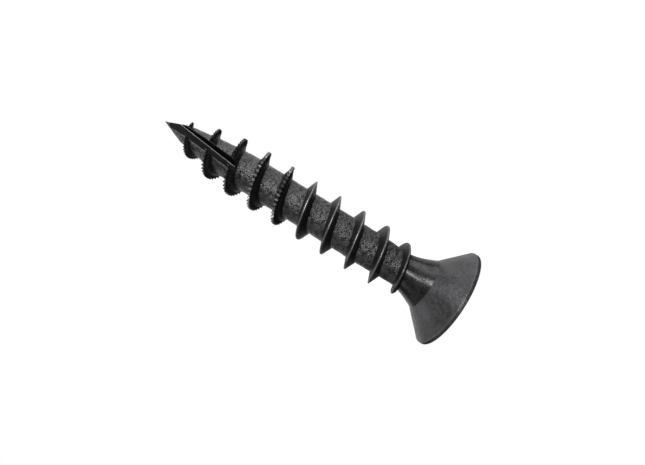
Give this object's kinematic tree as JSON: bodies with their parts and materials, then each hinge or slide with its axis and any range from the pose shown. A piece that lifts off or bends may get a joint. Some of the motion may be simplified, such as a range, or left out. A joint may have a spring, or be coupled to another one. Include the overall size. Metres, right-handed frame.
{
  "type": "wood screw",
  "caption": "Black countersunk wood screw with a lobed driver recess, a coarse thread that is saw-toothed towards the front, and a sharp slotted point.",
  "frame": {"origin": "centre of the head's flat outer face, on which the screw stands", "axes": "+Z along the screw's axis from the head to the point; the slot in the point opens towards -Y, turned 19.5 degrees towards +X, and the thread's crest crosses +X at whole turns"},
  "size_m": [0.0088, 0.0088, 0.0293],
  "materials": {
    "head_coat": "satin black phosphate on hardened steel, smooth from cold heading",
    "neck_coat": "satin black phosphate on hardened steel",
    "shank_coat": "black phosphate on hardened steel, slightly rough between the threads",
    "thread_coat": "black phosphate on rolled steel flanks",
    "serration_coat": "black phosphate on saw-toothed rolled steel",
    "point_coat": "black phosphate on rolled steel, with a milled slot"
  },
  "bodies": {
    "root": {"countersunk_head": "head_coat", "neck": "neck_coat", "shank_core": "shank_coat", "plain_thread": "thread_coat", "serrated_thread": "serration_coat", "fluted_point": "point_coat"}
  },
  "joints": []
}
